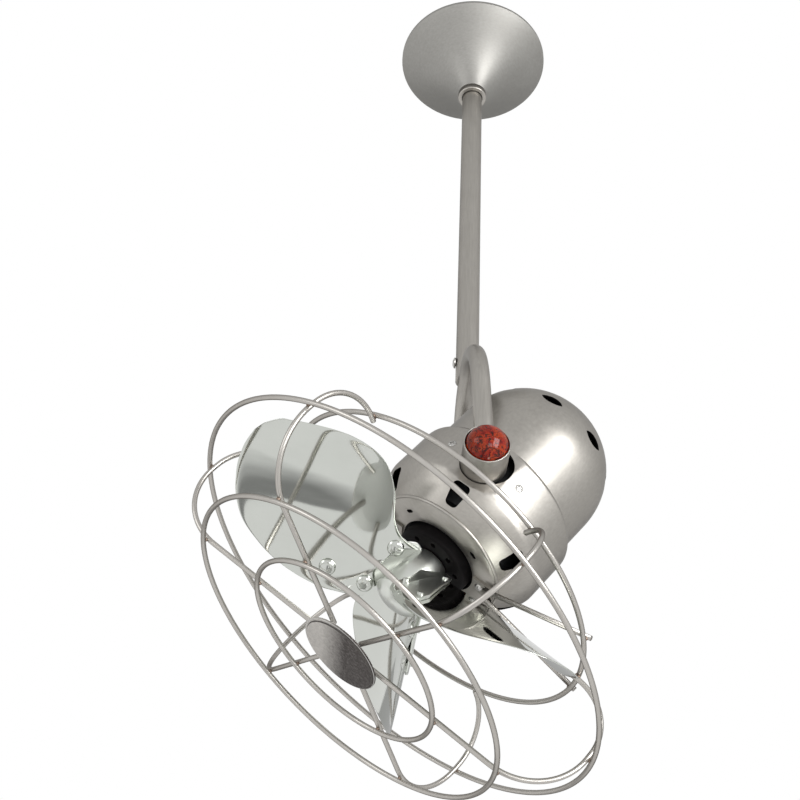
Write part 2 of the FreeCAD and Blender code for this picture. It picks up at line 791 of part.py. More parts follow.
def rotor_disc():
    bore = shaft_radius + running_gap
    outline = [(bore, disc_rear), (disc_radius, disc_rear), (disc_radius, disc_front), (bore, disc_front)]
    disc = turned(outline, [disc_round, disc_round])
    slot = Part.makeCylinder(disc_slot_radius, 2 * (disc_front - disc_rear))
    slot.translate(FreeCAD.Vector(disc_slot_circle, 0, disc_rear - overrun))
    return disc.cut(spread(slot, disc_slot_count))


def blade_line(share):
    # Radius and pitch of the blade at a share of its length.
    radius = blade_root + (blade_tip - blade_root) * share
    pitch = root_pitch_angle + (tip_pitch_angle - root_pitch_angle) * share ** pitch_power_share
    return radius, math.radians(pitch)


def section_point(radius, pitch, place, height):
    # Point at a distance along the chord and above the cambered middle line.
    rise = blade_rise * (radius - blade_root) / (blade_tip - blade_root)
    middle = FreeCAD.Vector(radius, 0, blade_root_place + rise)
    chord = FreeCAD.Vector(0, math.cos(pitch), math.sin(pitch))
    normal = FreeCAD.Vector(0, -math.sin(pitch), math.cos(pitch))
    sag = camber_radius - math.sqrt(camber_radius ** 2 - place ** 2)
    return middle + chord * place + normal * (height + sag)


def section_wire(radius, pitch, lead, trail, low, high):
    places = [lead, (lead - trail) / 2, -trail]
    upper = [section_point(radius, pitch, place, high) for place in places]
    lower = [section_point(radius, pitch, place, low) for place in reversed(places)]
    edges = [Part.Arc(*upper).toShape()]
    edges.append(Part.LineSegment(upper[-1], lower[0]).toShape())
    edges.append(Part.Arc(*lower).toShape())
    edges.append(Part.LineSegment(lower[-1], upper[0]).toShape())
    return Part.Wire(edges)


def rivet_places():
    # Share of the blade's length, distance along the chord.
    places = [(inner_rivet_share, place) for place in inner_rivet_places]
    places.append((outer_rivet_share, outer_rivet_place))
    return places


def rivet_placement(share, place):
    radius, pitch = blade_line(share)
    slope = math.asin(place / camber_radius)
    rotation = FreeCAD.Rotation(axis_x, math.degrees(pitch + slope))
    return FreeCAD.Placement(section_point(radius, pitch, place, 0), rotation)


def rivet_holes():
    holes = []
    for share, place in rivet_places():
        hole = Part.makeCylinder(rivet_radius + running_gap, 4 * overrun, FreeCAD.Vector(0, 0, -2 * overrun))
        hole.Placement = rivet_placement(share, place)
        holes.append(hole)
    return holes


def blade():
    half_wall = blade_thickness / 2
    wires = []
    for share, lead, trail in zip(blade_radius_shares, blade_lead_shares, blade_trail_shares):
        radius, pitch = blade_line(share)
        widths = (blade_width * lead, blade_width * trail)
        wires.append(section_wire(radius, pitch, *widths, -half_wall, half_wall))
    return Part.makeLoft(wires, True, False).cut(rivet_holes())


def blade_arm():
    # Plate that lies under the blade's root, from inside the hub outwards.
    high = -blade_thickness / 2 - seat_gap
    low = high - arm_thickness
    root_pitch = math.radians(root_pitch_angle)
    wires = [section_wire(arm_root, root_pitch, arm_leads[0], arm_trails[0], low, high)]
    for share, lead, trail in zip(blade_radius_shares, arm_leads[1:], arm_trails[1:]):
        radius, pitch = blade_line(share)
        wires.append(section_wire(radius, pitch, lead, trail, low, high))
    return Part.makeLoft(wires, True, False).cut(rivet_holes())


def blade_hub():
    outline = [(0, hub_rear), (hub_rear_radius, hub_rear), (hub_front_radius, hub_front), (0, hub_front)]
    barrel = turned(outline, [0, 0])
    hub = barrel.multiFuse(spread(blade_arm(), blade_count, blade_phase))
    bore = Part.makeCylinder(shaft_radius + running_gap, 4 * hub_front, FreeCAD.Vector(0, 0, -hub_front))
    nose_room = Part.makeCylinder(nose_radius + seat_gap, hub_front, FreeCAD.Vector(0, 0, hub_front))
    return hub.cut([bore, nose_room]).removeSplitter()


def hub_nose():
    low = hub_front
    ball_centre = low + nose_height - (nose_radius ** 2 + nose_height ** 2) / (2 * nose_height)
    ball = Part.makeSphere(low + nose_height - ball_centre, FreeCAD.Vector(0, 0, ball_centre))
    cap = ball.common(Part.makeCylinder(nose_radius, 2 * nose_height, FreeCAD.Vector(0, 0, low)))
    room = shaft_front + seat_gap - low
    return cap.cut(Part.makeCylinder(shaft_radius + running_gap, room, FreeCAD.Vector(0, 0, low)))


def blade_rivets():
    grip = blade_thickness / 2 + rivet_seat
    back = -blade_thickness / 2 - seat_gap - arm_thickness - seat_gap
    tail = back - rivet_radius / 2
    crown = grip + rivet_head_height
    tail_radius = rivet_head_radius / 2
    outline = [(0, tail), (tail_radius, tail), (tail_radius, back), (rivet_radius, back)]
    outline += [(rivet_radius, grip), (rivet_head_radius, grip)]
    outline.append((rivet_head_radius, grip + rivet_head_height / 3))
    outline += [(rivet_head_radius * rivet_crown_share, crown), (0, crown)]
    round_size = rivet_head_height / 2
    radii = [0, 0, 0, 0, 0, round_size, round_size]
    rivet = turned(outline, radii)
    rivets = []
    for i in range(blade_count):
        for share, place in rivet_places():
            one = rivet.copy()
            one.Placement = rivet_placement(share, place)
            one.rotate(origin, axis_z, blade_phase + full_angle * i / blade_count)
            rivets.append(one)
    return group(rivets)


os.makedirs("parts", exist_ok=True)

save(ceiling_bracket(), "ceiling_bracket")
save(hanger_ball(), "hanger_ball")
save(hanger_pin(), "hanger_pin")
save(canopy(), "canopy")
save(canopy_collar(), "canopy_collar")
save(collar_screw(), "collar_screw")
save(downrod(), "downrod")
save(yoke(), "yoke")
save(yoke_screw(), "yoke_screw")
save(yoke_nut(), "yoke_nut")
for side_name, side in (("right", 1), ("left", -1)):
    save(trunnion_cup(side), side_name + "_trunnion_cup")
    save(tilt_knob(side), side_name + "_tilt_knob")

save(in_head(rear_shell()), "rear_shell")
save(in_head(front_shell()), "front_shell")
save(in_head(shell_screws()), "shell_screws")
save(in_head(motor_frame()), "motor_frame")
save(in_head(trunnion_studs()), "trunnion_studs")
save(in_head(friction_washers()), "friction_washers")
save(in_head(end_bell(1)), "front_end_bell")
save(in_head(end_bell(-1)), "rear_end_bell")
save(in_head(bearings()), "bearings")
save(in_head(stator_core()), "stator_core")
save(in_head(stator_windings()), "stator_windings")

save(in_head(wire_ring(inner_ring_radius, guard_front)), "guard_inner_ring")
save(in_head(wire_ring(front_ring_radius, front_ring_place)), "guard_front_ring")
save(in_head(wire_ring(rim_ring_radius, rim_ring_place)), "guard_rim_ring")
save(in_head(wire_ring(rear_ring_radius, rear_ring_place)), "guard_rear_ring")
for number, rib_angle in enumerate(rib_angles, 1):
    save(in_head(guard_rib(rib_angle)), "guard_rib_" + str(number))
save(in_head(guard_badge()), "guard_badge")
save(in_head(guard_tabs()), "guard_tabs")
save(in_head(guard_struts()), "guard_struts")
save(in_head(guard_tab_screws()), "guard_tab_screws")
save(in_head(guard_tab_nuts()), "guard_tab_nuts")

save(in_head(rotor_core()), "rotor_core")
save(in_head(motor_shaft()), "motor_shaft")
save(in_head(rotor_disc()), "rotor_disc")
save(in_head(blade_hub()), "blade_hub")
save(in_head(hub_nose()), "hub_nose")
for number, paddle in enumerate(spread(blade(), blade_count, blade_phase), 1):
    save(in_head(paddle), "blade_" + str(number))
save(in_head(blade_rivets()), "blade_rivets")
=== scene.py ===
import json
import math
import bmesh
import bpy
import numpy as np
from mathutils import Matrix


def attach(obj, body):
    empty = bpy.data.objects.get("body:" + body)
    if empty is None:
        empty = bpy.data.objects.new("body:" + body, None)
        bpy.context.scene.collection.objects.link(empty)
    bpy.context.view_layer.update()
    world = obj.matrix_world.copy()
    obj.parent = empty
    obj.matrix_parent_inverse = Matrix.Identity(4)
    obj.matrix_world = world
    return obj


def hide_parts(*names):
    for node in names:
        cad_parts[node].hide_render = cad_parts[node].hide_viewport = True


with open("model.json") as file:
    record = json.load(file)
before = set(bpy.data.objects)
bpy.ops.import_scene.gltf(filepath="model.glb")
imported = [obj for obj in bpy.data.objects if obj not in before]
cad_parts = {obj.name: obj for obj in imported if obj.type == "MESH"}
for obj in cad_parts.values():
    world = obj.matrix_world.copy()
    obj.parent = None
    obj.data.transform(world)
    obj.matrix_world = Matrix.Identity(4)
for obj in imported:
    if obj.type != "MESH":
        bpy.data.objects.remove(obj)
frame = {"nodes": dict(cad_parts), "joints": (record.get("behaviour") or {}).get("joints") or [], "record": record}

nodes = frame["nodes"]
slotOf = {row["node"]: row["material_slot"] for row in frame["record"]["subparts"]}
bodyOf = {name: body for body, names in frame["record"]["behaviour"]["bodies"].items() for name in names}
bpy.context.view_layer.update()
mm = 0.001
fullTurn = 2 * math.pi
mergeGap, slimEdge = 2e-6, 1e-7        # metres: points this near become one, edges this short go
lookAlong = 0.5        # a face looks along the head's axis when its normal has more than this of it
print("frame loaded:", len(nodes), "nodes")

# the head's own axes: side is the tilt axis, blow the way the air goes, lift the third
jointOf = {joint["name"]: joint for joint in frame["joints"]}
pivot = np.array(jointOf["head_tilt"]["pos_m"])
blow = np.array(jointOf["fan_spin"]["axis"])
side = np.array([1.0, 0.0, 0.0])
lift = np.cross(blow, side)
headAxes = np.stack([side, lift, blow])


def inHead(points):
    # millimetres along the head's axes to metres in the scene
    return pivot + np.asarray(points, float) * mm @ headAxes


def fromHead(points):
    # metres in the scene to millimetres along the head's axes
    return (points - pivot) @ headAxes.T / mm


def spun(points, degrees):
    # turned about the head's own axis
    c, s = math.cos(math.radians(degrees)), math.sin(math.radians(degrees))
    return np.asarray(points, float) @ np.array([[c, s, 0], [-s, c, 0], [0, 0, 1]])


def unit(vector):
    vector = np.asarray(vector, float)
    return vector / np.linalg.norm(vector, axis=-1, keepdims=True)


# materials: a wrapped socket does sums, and node() makes everything else
class Signal:
    def __init__(self, shade, socket):
        self.shade, self.socket = shade, socket

    def maths(self, operation, first, second):
        return self.shade.node("ShaderNodeMath", {"operation": operation}, {0: first, 1: second})

    def __add__(self, other): return self.maths("ADD", self, other)
    def __radd__(self, other): return self.maths("ADD", other, self)
    def __sub__(self, other): return self.maths("SUBTRACT", self, other)
    def __rsub__(self, other): return self.maths("SUBTRACT", other, self)
    def __mul__(self, other): return self.maths("MULTIPLY", self, other)
    def __rmul__(self, other): return self.maths("MULTIPLY", other, self)
    def __gt__(self, other): return self.maths("GREATER_THAN", self, other)


class NodeSheet:
    def __init__(self, owner):
        owner.use_nodes = True
        self.tree = owner.node_tree
        self.tree.nodes.clear()

    def put(self, socket, value):
        if isinstance(value, Signal):
            self.tree.links.new(value.socket, socket)
        else:
            socket.default_value = value

    def node(self, kind, settings=None, inputs=None, out=0):
        made = self.tree.nodes.new(kind)
        for key, value in (settings or {}).items():
            if key == "stops":
                while len(made.color_ramp.elements) < len(value):
                    made.color_ramp.elements.new(0.5)
                for element, (place, colour) in zip(made.color_ramp.elements, value):
                    element.position, element.color = place, opaque(colour)
            else:
                setattr(made, key, value)
        for key, value in (inputs or {}).items():
            self.put(made.inputs[key], value)
        return Signal(self, made.outputs[out]) if made.outputs else None


class Shade(NodeSheet):
    def __init__(self, name, **constants):
        self.material = bpy.data.materials.new(name)
        super().__init__(self.material)
        light = self.node("ShaderNodeBsdfPrincipled")
        self.surface = light.socket.node
        self.node("ShaderNodeOutputMaterial", inputs={"Surface": light})
        self.feed({key.replace("_", " "): value for key, value in constants.items()})

    def feed(self, values):
        for key, value in values.items():
            self.put(self.surface.inputs[key], value)

    def place(self, stretch=(1, 1, 1)):
        coords = self.node("ShaderNodeTexCoord", out="Object")
        return self.node("ShaderNodeMapping", inputs={"Vector": coords, "Scale": stretch})

    def noise(self, scale, detail=4, stretch=(1, 1, 1), roughness=0.6, warp=0.0):
        inputs = {"Vector": self.place(stretch), "Scale": scale, "Detail": detail,
                  "Roughness": roughness, "Distortion": warp}
        return self.node("ShaderNodeTexNoise", inputs=inputs)

    def ramp(self, axis, start, end):
        # 0 to 1 along one axis of the object, level beyond both ends
        along = self.node("ShaderNodeSeparateXYZ", inputs={0: self.place()}, out=axis)
        return self.node("ShaderNodeMapRange", inputs={"Value": along, "From Min": start, "From Max": end})

    def mix(self, factor, first, second):
        # sockets 0, 6 and 7 hold the factor and the two colours, output 2 the mixed colour
        return self.node("ShaderNodeMix", {"data_type": "RGBA"}, {0: factor, 6: first, 7: second}, out=2)

    def cover(self, share, dark, light, rough):
        self.feed({"Base Color": self.mix(share, dark, light), "Roughness": rough})

    def bump(self, height, strength, distance):
        inputs = {"Height": height, "Strength": strength, "Distance": distance}
        self.feed({"Normal": self.node("ShaderNodeBump", inputs=inputs)})


def opaque(colour, tint=1.0):
    return (*(np.array(colour) * tint), 1)


nickelLook = {"light": (0.495, 0.475, 0.441), "dark": (0.30, 0.284, 0.259), "edge": (0.55, 0.55, 0.55),
              "grain": 800, "cloud": 26, "detail": 3, "grainShare": 0.7, "cloudShare": 0.3,
              "rough": 0.27, "grainRough": 0.10, "cloudRough": 0.08, "bump": (0.16, 0.0002)}


def satinNickel(name, stretch, tone=(1, 1, 1), dull=0.0):
    # fine brushed grain, drawn out along one way, over slow clouding of the plate
    look = nickelLook
    shade = Shade(name, Metallic=1.0, Specular_Tint=opaque(look["edge"]))
    grain = shade.noise(look["grain"], look["detail"], stretch)
    cloud = shade.noise(look["cloud"], look["detail"])
    shade.cover(cloud * look["cloudShare"] + grain * look["grainShare"],
                opaque(look["dark"], tone), opaque(look["light"], tone),
                look["rough"] + dull + cloud * look["cloudRough"] + grain * look["grainRough"])
    shade.bump(grain, *look["bump"])
    return shade.material


chromeLook = {"dark": (0.545, 0.56, 0.525), "light": (0.60, 0.615, 0.58), "smear": {"scale": 38, "detail": 5},
              "smearRough": 0.05, "waveDetail": 2, "bump": (0.05, 0.002)}


def polishedChrome(name, rough, wave, tone=1.0):
    # mirror plate with faint hand marks
    look = chromeLook
    shade = Shade(name, Metallic=1.0)
    smear = shade.noise(**look["smear"])
    shade.cover(smear, opaque(look["dark"], tone), opaque(look["light"], tone), rough + smear * look["smearRough"])
    shade.bump(shade.noise(wave, look["waveDetail"]), *look["bump"])
    return shade.material


wireLook = {"dark": (0.41, 0.39, 0.36), "light": (0.53, 0.51, 0.48), "edge": (0.30, 0.29, 0.28),
            "grain": {"scale": 240, "detail": 2}, "tint": {"scale": 31, "detail": 3},
            "grainShare": 0.3, "tintShare": 0.7, "rough": 0.27, "tintRough": 0.06}


def wireNickel():
    # the cage's plate changes tone slowly along each wire
    look = wireLook
    shade = Shade("wireNickel", Metallic=1.0, Specular_Tint=opaque(look["edge"]))
    grain, tint = shade.noise(**look["grain"]), shade.noise(**look["tint"])
    shade.cover(tint * look["tintShare"] + grain * look["grainShare"],
                opaque(look["dark"]), opaque(look["light"]), look["rough"] + tint * look["tintRough"])
    return shade.material


weldLook = {"dark": (0.10, 0.055, 0.035), "light": (0.36, 0.29, 0.24), "metal": 0.9,
            "spots": {"scale": 420, "detail": 4}, "rough": 0.38, "spotRough": 0.25, "bump": (0.5, 0.0006)}


def weldTint():
    # brown heat tint in spots
    look = weldLook
    shade = Shade("weldTint", Metallic=look["metal"])
    spots = shade.noise(**look["spots"])
    shade.cover(spots, opaque(look["dark"]), opaque(look["light"]), look["rough"] + spots * look["spotRough"])
    shade.bump(spots, *look["bump"])
    return shade.material


burlLook = {"stops": [(0.36, (0.035, 0.003, 0.002)), (0.45, (0.19, 0.007, 0.004)),
                      (0.58, (0.31, 0.034, 0.006)), (0.72, (0.12, 0.005, 0.003))],
            "black": (0.012, 0.006, 0.005), "coat": 0.5, "coatRough": 0.05,
            "swirl": {"scale": 85, "detail": 6, "roughness": 0.7, "warp": 1.0},
            "fleck": {"scale": 330, "detail": 4, "warp": 1.5}, "fleckFrom": 0.565, "fleckShare": 0.8,
            "knot": {"scale": 150, "detail": 5, "roughness": 0.75, "warp": 2.0}, "knotFrom": 0.57, "knotShare": 0.9,
            "rough": 0.28, "swirlRough": 0.12}


def burlWood():
    # red-brown burl: swirled tones, black flecks of two sizes, thick lacquer
    look = burlLook
    shade = Shade("burlWood", Coat_Weight=look["coat"], Coat_Roughness=look["coatRough"], Specular_IOR_Level=0.0)
    swirl = shade.noise(**look["swirl"])
    tone = shade.node("ShaderNodeValToRGB", {"stops": look["stops"]}, {"Fac": swirl})
    fleck = shade.noise(**look["fleck"]) > look["fleckFrom"]
    knot = shade.noise(**look["knot"]) > look["knotFrom"]
    shade.cover(fleck * look["fleckShare"] + knot * look["knotShare"], tone, opaque(look["black"]),
                look["rough"] + swirl * look["swirlRough"])
    return shade.material


pewterLook = {"dark": (0.056, 0.047, 0.044), "light": (0.60, 0.575, 0.54),
              "cast": {"scale": 380, "detail": 5, "roughness": 0.75}, "castShare": 0.9,
              # painted reflection: a ramp along Y makes one side of the badge lighter
              "paintedReflection": ("Y", -0.092, -0.111), "paintedReflectionShare": 0.8, "shift": 0.41,
              "rough": 0.36, "castRough": 0.2, "bump": (0.55, 0.0006)}


def darkPewter():
    # sand-cast grain, and a painted reflection: lighter on one side of the middle
    look = pewterLook
    shade = Shade("darkPewter", Metallic=1.0)
    cast, paintedReflection = shade.noise(**look["cast"]), shade.ramp(*look["paintedReflection"])
    shade.cover(cast * look["castShare"] + paintedReflection * look["paintedReflectionShare"] - look["shift"],
                opaque(look["dark"]), opaque(look["light"]), look["rough"] + cast * look["castRough"])
    shade.bump(cast, *look["bump"])
    return shade.material


paintLook = {"dark": (0.002, 0.002, 0.0025), "light": (0.009, 0.0075, 0.0075), "shine": 0.06,
             "peel": {"scale": 700, "detail": 3}, "dust": {"scale": 90, "detail": 4},
             "rough": 0.42, "dustRough": 0.25, "bump": (0.2, 0.0003)}


def blackPaint():
    # dusty black with a fine orange peel
    look = paintLook
    shade = Shade("blackPaint", Specular_IOR_Level=look["shine"])
    peel, dust = shade.noise(**look["peel"]), shade.noise(**look["dust"])
    shade.cover(dust, opaque(look["dark"]), opaque(look["light"]), look["rough"] + dust * look["dustRough"])
    shade.bump(peel, *look["bump"])
    return shade.material


plainLook = {"grainRough": 0.15, "metalBump": 0.2, "dullBump": 0.3, "depth": 0.0003}


def plainFinish(name, dark, light, rough, scale, metal=True):
    look = plainLook
    shade = Shade(name, Metallic=1.0 if metal else 0.0)
    grain = shade.noise(scale)
    shade.cover(grain, opaque(dark), opaque(light), rough + grain * look["grainRough"])
    shade.bump(grain, look["metalBump"] if metal else look["dullBump"], look["depth"])
    return shade.material


looks = {
    "nickelRod": satinNickel("nickelRod", (1, 1, 0.06)),
    "nickelCast": satinNickel("nickelCast", (1, 0.35, 0.35)),
    "nickelSpun": satinNickel("nickelSpun", (0.35, 0.35, 1), tone=(0.795, 0.815, 0.835), dull=0.16),
    "nickelWire": wireNickel(),
    "chrome": polishedChrome("polishedChrome", rough=0.035, wave=14),
    "chromeCast": polishedChrome("polishedCasting", rough=0.27, wave=60, tone=1.22),
    "burl": burlWood(),
    "pewter": darkPewter(),
    "black": blackPaint(),
    "weld": weldTint(),
    "zinc": plainFinish("zincSteel", (0.38, 0.375, 0.36), (0.62, 0.61, 0.59), 0.26, 600),
    "copper": plainFinish("copperWinding", (0.30, 0.10, 0.03), (0.55, 0.24, 0.10), 0.35, 900),
    "iron": plainFinish("lamination", (0.10, 0.10, 0.105), (0.22, 0.22, 0.225), 0.45, 800),
    "fibre": plainFinish("darkFibreAndPaintedShade", (0.030, 0.026, 0.022), (0.09, 0.08, 0.07), 0.6, 500, metal=False),
    "greyCoat": plainFinish("greyCoat", (0.74, 0.74, 0.73), (0.84, 0.84, 0.83), 0.55, 300, metal=False),
    # painted shade: the motor castings are dark grey so that they show dark through the vents
    "alloy": plainFinish("castAlloyAndPaintedShade", (0.06, 0.06, 0.062), (0.14, 0.14, 0.142), 0.5, 400),
}
slotLook = {"satin_nickel": "nickelCast", "polished_chrome": "chrome", "black_paint": "black", "burl_wood": "burl",
            "pewter": "pewter", "zinc_steel": "zinc", "copper_winding": "copper", "lamination": "iron",
            "fibre": "fibre", "cast_alloy": "alloy"}
for name, obj in nodes.items():
    obj.data.materials.clear()
    obj.data.materials.append(looks[slotLook[slotOf[name]]])
print("materials:", len(looks))


def finishMesh(name, mesh, body, look, stands=(), sharp=40):
    # merge poles and seams, turn faces outwards, smooth all but the sharp edges
    work = bmesh.new()
    work.from_mesh(mesh)
    bmesh.ops.remove_doubles(work, verts=work.verts, dist=mergeGap)
    bmesh.ops.dissolve_degenerate(work, edges=work.edges, dist=slimEdge)
    bmesh.ops.recalc_face_normals(work, faces=work.faces)
    work.to_mesh(mesh)
    work.free()
    mesh.shade_smooth()
    mesh.set_sharp_from_angle(angle=math.radians(sharp))
    piece = bpy.data.objects.new(name, mesh)
    bpy.context.scene.collection.objects.link(piece)
    mesh.materials.clear()
    mesh.materials.append(looks[look])
    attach(piece, body)
    if stands:
        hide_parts(*stands)
    return piece


def smoothCopy(node, look, reshape=None):
    # a copy of the CAD node's mesh, reshaped if asked, merged and smoothed
    mesh = nodes[node].data.copy()
    if reshape:
        reshape(mesh)
    return finishMesh(node + "_smooth", mesh, bodyOf[node], look, (node,), sharp=30)


def gridFaces(rows, columns, wrapRows, wrapColumns):
    i, j = np.meshgrid(np.arange(rows - (not wrapRows)), np.arange(columns - (not wrapColumns)), indexing="ij")
    i2, j2 = (i + 1) % rows, (j + 1) % columns
    return np.stack([i * columns + j, i * columns + j2, i2 * columns + j2, i2 * columns + j], -1).reshape(-1, 4)


def gridPiece(name, grids, body, look, stands=(), wrapRows=False, wrapColumns=True, sharp=40):
    # one mesh from one or more point grids of the same kind
    points, faces, start = [], [], 0
    for grid in grids:
        rows, columns = grid.shape[:2]
        points.append(grid.reshape(-1, 3))
        faces.append(gridFaces(rows, columns, wrapRows, wrapColumns) + start)
        start += rows * columns
    mesh = bpy.data.meshes.new(name)
    mesh.from_pydata(np.concatenate(points), [], np.concatenate(faces).tolist())
    return finishMesh(name, mesh, body, look, stands, sharp)


def circle(around):
    return np.linspace(0, fullTurn, around, endpoint=False)


def lathe(profile, around=128):
    # profile rows of (radius, height) carried round the Z axis
    profile, turn = np.asarray(profile, float), circle(around)
    r, z = profile[:, :1], profile[:, 1:]
    return np.stack([r * np.cos(turn), r * np.sin(turn), z + 0 * turn], -1)


def layX(grid, way):
    # Z of the lathe laid along +X or -X
    x, y, z = grid[..., 0], grid[..., 1], grid[..., 2]
    return np.stack([z * way, y, -x * way], -1)


def route(points, radii, steps=24):
    # straight runs joined by tangent arcs of the given radii
    points = [np.array(p, float) for p in points]
    line = [points[0]]
    for before, corner, after, radius in zip(points, points[1:], points[2:], radii):
        back, ahead = unit(before - corner), unit(after - corner)
        half = math.acos(np.clip(back @ ahead, -1, 1)) / 2
        centre = corner + unit(back + ahead) * radius / math.sin(half)
        first = corner + back * radius / math.tan(half) - centre
        last = corner + ahead * radius / math.tan(half) - centre
        sweep = math.acos(np.clip(first @ last / radius ** 2, -1, 1))
        t = np.linspace(0, 1, steps)[:, None]
        line.extend(centre + (first * np.sin((1 - t) * sweep) + last * np.sin(t * sweep)) / math.sin(sweep))
    line.append(points[-1])
    return np.array(line)


tubeEnd = {"steps": 6, "length": 0.5}        # length as a share of the wire's radius


def tube(line, radius, normal, around=20, closed=False):
    # circle carried along a flat line; open ends close in a small round
    line, normal = np.asarray(line, float), unit(normal)
    ahead = unit(np.roll(line, -1, 0) - np.roll(line, 1, 0) if closed else np.gradient(line, axis=0))
    across = np.cross(normal, ahead)
    size = np.full(len(line), radius)
    if not closed:
        steps = tubeEnd["steps"]
        bend = np.linspace(0, math.pi / 2, steps)
        inset = (radius * tubeEnd["length"] * (1 - np.cos(bend)))[:, None]
        line = np.concatenate([line[:1] + ahead[:1] * inset, line[1:-1], (line[-1:] - ahead[-1:] * inset)[::-1]])
        across = np.concatenate([np.repeat(across[:1], steps, 0), across[1:-1], np.repeat(across[-1:], steps, 0)])
        size = np.concatenate([radius * np.sin(bend), size[1:-1], radius * np.sin(bend)[::-1]])
    turn = circle(around)[None, :, None]
    ring = across[:, None, :] * np.cos(turn) + normal * np.sin(turn)
    return line[:, None, :] + ring * size[:, None, None]


def ball(centre, sizes, rings=9, around=14):
    # ellipsoid with half sizes along X, Y and Z
    tall, turn = np.linspace(0, math.pi, rings)[:, None], circle(around)[None]
    sphere = np.stack([np.sin(tall) * np.cos(turn), np.sin(tall) * np.sin(turn), np.cos(tall) + 0 * turn], -1)
    return np.asarray(centre, float) + sphere * sizes


def cap(radius, height, top, steps):
    # profile of a spherical cap, from its rim to its top
    bulge = (radius ** 2 + height ** 2) / (2 * height)
    tilt = np.linspace(math.asin(radius / bulge), 0, steps)
    return [(bulge * math.sin(t), top - bulge * (1 - math.cos(t))) for t in tilt]


def curve(x, places, values):
    # cubic through the stations, slopes from their neighbours
    places, values = np.asarray(places, float), np.asarray(values, float)
    slope = np.gradient(values, places)
    k = np.clip(np.searchsorted(places, x) - 1, 0, len(places) - 2)
    h = places[k + 1] - places[k]
    t = (x - places[k]) / h
    return ((2 * t ** 3 - 3 * t ** 2 + 1) * values[k] + (t ** 3 - 2 * t ** 2 + t) * h * slope[k]
            + (3 * t ** 2 - 2 * t ** 3) * values[k + 1] + (t ** 3 - t ** 2) * h * slope[k + 1])


def faceData(piece, what):
    held = np.empty(len(piece.data.polygons) * 3)
    piece.data.polygons.foreach_get(what, held)
    return held.reshape(-1, 3)


def facePlaces(piece):
    # each face's centre, its distance from the head's axis, and the way it looks, along the head's axes
    centre, facing = fromHead(faceData(piece, "center")), faceData(piece, "normal") @ headAxes.T
    return centre, np.hypot(centre[:, 0], centre[:, 1]), facing


def paintFaces(piece, look, chosen):
    # a further finish on the chosen faces
    mesh = piece.data
    mesh.materials.append(looks[look])
    held = np.empty(len(mesh.polygons), np.int32)
    mesh.polygons.foreach_get("material_index", held)
    held[chosen] = len(mesh.materials) - 1
    mesh.polygons.foreach_set("material_index", held)


# wire cage: rings are tori, ribs a flat bent line that runs inside the rim ring
cage = {"wire": 2.15, "gap": 0.05, "front": 170.0, "inner": 90.2, "outer": 150.6, "rim": 200.0, "rimPlace": 111.3,
        "rear": 150.1, "rearPlace": 57.8, "ribAngles": (27.0, 88.0, 148.0, 206.5, 267.0, 327.0),
        "frontBend": 53.5, "rearBend": 45.0, "ribInner": 26.0, "ribTail": 4.0,
        "tabAngles": (90.0, 270.0), "strutSpread": 15.0, "weld": (2.7, 1.7, 2.2)}
step = 2 * cage["wire"] + cage["gap"]
ribFront, ribReach, ribRear = cage["front"] - step, cage["rim"] - step, cage["rearPlace"] + step
bendRadius, bendPlace = ribReach - cage["frontBend"], ribFront - cage["frontBend"]
outerPlace = bendPlace + math.sqrt((cage["frontBend"] + step) ** 2 - (cage["outer"] - bendRadius) ** 2)


def ringLine(radius, place, around=220):
    turn = circle(around)
    return np.stack([radius * np.cos(turn), radius * np.sin(turn), np.full_like(turn, place)], -1)


rings = {"guard_inner_ring": (cage["inner"], cage["front"]), "guard_front_ring": (cage["outer"], outerPlace),
         "guard_rim_ring": (cage["rim"], cage["rimPlace"]), "guard_rear_ring": (cage["rear"], cage["rearPlace"])}
for node, (radius, place) in rings.items():
    grid = tube(ringLine(radius, place), cage["wire"], (0, 0, 1), closed=True)
    gridPiece(node + "_wire", [inHead(grid)], "head", "nickelWire", (node,), wrapRows=True)

ribLine = route([(cage["ribInner"], 0, ribFront), (ribReach, 0, ribFront), (ribReach, 0, ribRear),
                 (cage["rear"] - cage["ribTail"], 0, ribRear)], (cage["frontBend"], cage["rearBend"]))
ribGrid = tube(ribLine, cage["wire"], (0, 1, 0))
for number, angle in enumerate(cage["ribAngles"], 1):
    node = "guard_rib_%d" % number
    gridPiece(node + "_wire", [inHead(spun(ribGrid, angle))], "head", "nickelWire", (node,))

# weld beads where ribs cross rings, and where struts meet the rear ring
ribSpots = [(cage["inner"], cage["front"] - step / 2), (cage["outer"], outerPlace - step / 2),
            (cage["rim"] - step / 2, cage["rimPlace"]), (cage["rear"], cage["rearPlace"] + step / 2)]
strutSpot = (cage["rear"], cage["rearPlace"] - step / 2)
strutAngles = [tab + way * cage["strutSpread"] for tab in cage["tabAngles"] for way in (-1, 1)]
welds = [(spot, angle) for angle in cage["ribAngles"] for spot in ribSpots]
welds += [(strutSpot, angle) for angle in strutAngles]
beads = [inHead(spun(ball((r, 0, z), cage["weld"]), angle)) for (r, z), angle in welds]
gridPiece("guard_welds", beads, "head", "weld")

